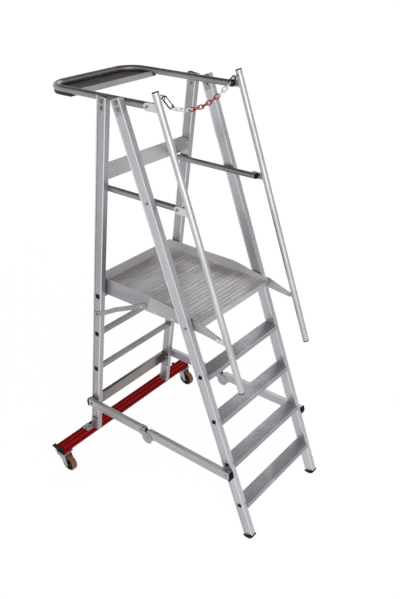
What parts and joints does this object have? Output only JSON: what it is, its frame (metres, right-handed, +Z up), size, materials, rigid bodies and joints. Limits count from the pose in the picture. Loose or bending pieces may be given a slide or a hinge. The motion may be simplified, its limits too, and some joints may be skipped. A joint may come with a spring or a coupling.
{
  "type": "podium step",
  "caption": "folding aluminium platform ladder on a wide castered base, with handrails, toe boards, a guard rail with a tool tray and a chain across the entry",
  "frame": {"origin": "middle of the bounding box on the floor", "axes": "+Z up; the climbing side faces -Y; left is -X"},
  "size_m": [1.198, 1.3536, 2.2838],
  "materials": {
    "stile_aluminium": "satin extruded",
    "step_aluminium": "satin extruded, ribbed",
    "black_plastic": "moulded",
    "foot_rubber": "moulded, slightly scuffed",
    "board_aluminium": "mill finish sheet",
    "rail_tube": "drawn tube, polished",
    "handrail_tube": "drawn tube, bright",
    "zinc_steel": "zinc plated",
    "rivet_steel": "bright",
    "deck_aluminium": "ribbed extrusion, worn",
    "tray_steel": "textured dark coat",
    "red_paint": "deep red coat",
    "brace_aluminium": "satin extruded",
    "wheel_tyre": "polyurethane",
    "wheel_hub": "moulded",
    "pedal_red": "moulded",
    "white_plastic": "moulded",
    "red_plastic": "moulded",
    "dark_steel": "blackened"
  },
  "bodies": {
    "frame": {"rear_stile_left": "stile_aluminium", "rear_stile_right": "stile_aluminium", "rear_rungs": "step_aluminium", "rear_rung_plugs": "black_plastic", "back_board": "board_aluminium", "bottom_board": "board_aluminium", "guard_rail": "rail_tube", "tool_tray": "tray_steel", "tray_bar": "board_aluminium", "mid_rails": "rail_tube", "handrail_left": "handrail_tube", "handrail_right": "handrail_tube", "tube_plugs": "black_plastic", "handrail_brackets": "zinc_steel", "deck_planks": "deck_aluminium", "side_board_left": "board_aluminium", "side_board_right": "board_aluminium", "rear_toe_board": "board_aluminium", "side_arm_left": "board_aluminium", "side_arm_right": "board_aluminium", "struts": "board_aluminium", "frame_bolts": "zinc_steel", "frame_rivets": "rivet_steel", "top_plates": "zinc_steel", "crossbar": "red_paint", "crossbar_caps": "black_plastic", "foot_brackets": "zinc_steel", "caster_plates": "zinc_steel", "chain_eyes": "zinc_steel"},
    "front_ladder": {"front_stile_left": "stile_aluminium", "front_stile_right": "stile_aluminium", "treads": "step_aluminium", "tread_plugs": "black_plastic", "front_feet": "foot_rubber", "front_bolts": "zinc_steel", "front_top_plates": "zinc_steel"},
    "brace_rear_left": {"brace_rear_left": "brace_aluminium", "brace_rear_cap_left": "black_plastic", "knee_plates_left": "zinc_steel"},
    "brace_front_left": {"brace_front_left": "brace_aluminium", "brace_front_cap_left": "black_plastic"},
    "knee_latch_left": {"knee_latch_left": "zinc_steel"},
    "caster_left": {"caster_fork_left": "zinc_steel"},
    "wheel_left": {"wheel_tyre_left": "wheel_tyre", "wheel_hub_left": "wheel_hub"},
    "pedal_left": {"brake_pedal_left": "pedal_red"},
    "brace_rear_right": {"brace_rear_right": "brace_aluminium", "brace_rear_cap_right": "black_plastic", "knee_plates_right": "zinc_steel"},
    "brace_front_right": {"brace_front_right": "brace_aluminium", "brace_front_cap_right": "black_plastic"},
    "knee_latch_right": {"knee_latch_right": "zinc_steel"},
    "caster_right": {"caster_fork_right": "zinc_steel"},
    "wheel_right": {"wheel_tyre_right": "wheel_tyre", "wheel_hub_right": "wheel_hub"},
    "pedal_right": {"brake_pedal_right": "pedal_red"},
    "chain": {"chain_white_links": "white_plastic", "chain_red_links": "red_plastic", "carabiner": "dark_steel"},
    "gate": {"carabiner_gate": "dark_steel"}
  },
  "joints": [
    {"name": "front_fold", "type": "hinge", "parent": "frame", "child": "front_ladder", "pos_m": [0, 0.15202, 2.21], "axis": [1, 0, 0], "range_deg": [0, 25]},
    {"name": "knee_rear_left", "type": "hinge", "parent": "frame", "child": "brace_rear_left", "pos_m": [-0.3565, 0.49568, 0.398], "axis": [1, 0, 0], "range_deg": [-82, 0]},
    {"name": "knee_front_left", "type": "hinge", "parent": "brace_rear_left", "child": "brace_front_left", "pos_m": [-0.3565, 0.04566, 0.368], "axis": [1, 0, 0], "range_deg": [0, 166.6]},
    {"name": "latch_lift_left", "type": "hinge", "parent": "brace_rear_left", "child": "knee_latch_left", "pos_m": [-0.3565, 0.08966, 0.4285], "axis": [1, 0, 0], "range_deg": [-25, 0], "stiffness_Nm_per_rad": 0.15},
    {"name": "caster_swivel_left", "type": "hinge", "parent": "frame", "child": "caster_left", "pos_m": [-0.563, 0.56488, 0.118], "axis": [0, 0, 1], "continuous": true},
    {"name": "wheel_spin_left", "type": "hinge", "parent": "caster_left", "child": "wheel_left", "pos_m": [-0.563, 0.52688, 0.05], "axis": [1, 0, 0], "continuous": true},
    {"name": "brake_pedal_left", "type": "hinge", "parent": "caster_left", "child": "pedal_left", "pos_m": [-0.563, 0.59888, 0.1006], "axis": [1, 0, 0], "range_deg": [-14, 0]},
    {"name": "knee_rear_right", "type": "hinge", "parent": "frame", "child": "brace_rear_right", "pos_m": [0.3565, 0.49568, 0.398], "axis": [1, 0, 0], "range_deg": [-82, 0]},
    {"name": "knee_front_right", "type": "hinge", "parent": "brace_rear_right", "child": "brace_front_right", "pos_m": [0.3565, 0.04566, 0.368], "axis": [1, 0, 0], "range_deg": [0, 166.6]},
    {"name": "latch_lift_right", "type": "hinge", "parent": "brace_rear_right", "child": "knee_latch_right", "pos_m": [0.3565, 0.08966, 0.4285], "axis": [1, 0, 0], "range_deg": [-25, 0], "stiffness_Nm_per_rad": 0.15},
    {"name": "caster_swivel_right", "type": "hinge", "parent": "frame", "child": "caster_right", "pos_m": [0.563, 0.56488, 0.118], "axis": [0, 0, 1], "continuous": true},
    {"name": "wheel_spin_right", "type": "hinge", "parent": "caster_right", "child": "wheel_right", "pos_m": [0.563, 0.52688, 0.05], "axis": [1, 0, 0], "continuous": true},
    {"name": "brake_pedal_right", "type": "hinge", "parent": "caster_right", "child": "pedal_right", "pos_m": [0.563, 0.59888, 0.1006], "axis": [1, 0, 0], "range_deg": [-14, 0]},
    {"name": "chain_swing", "type": "hinge", "parent": "frame", "child": "chain", "pos_m": [0, -0.06542, 2.25], "axis": [1, 0, 0], "range_deg": [-12, 12]},
    {"name": "gate_open", "type": "hinge", "parent": "chain", "child": "gate", "pos_m": [-0.20881, -0.07214, 2.20618], "axis": [-0.5171, -0.7071, -0.4822], "range_deg": [0, 10], "stiffness_Nm_per_rad": 0.02}
  ],
  "couplings": [
    {"joint": "knee_rear_left", "follows": "front_fold", "ratio": -3.2406},
    {"joint": "knee_front_left", "follows": "front_fold", "ratio": 6.6507},
    {"joint": "knee_rear_right", "follows": "front_fold", "ratio": -3.2406},
    {"joint": "knee_front_right", "follows": "front_fold", "ratio": 6.6507}
  ]
}
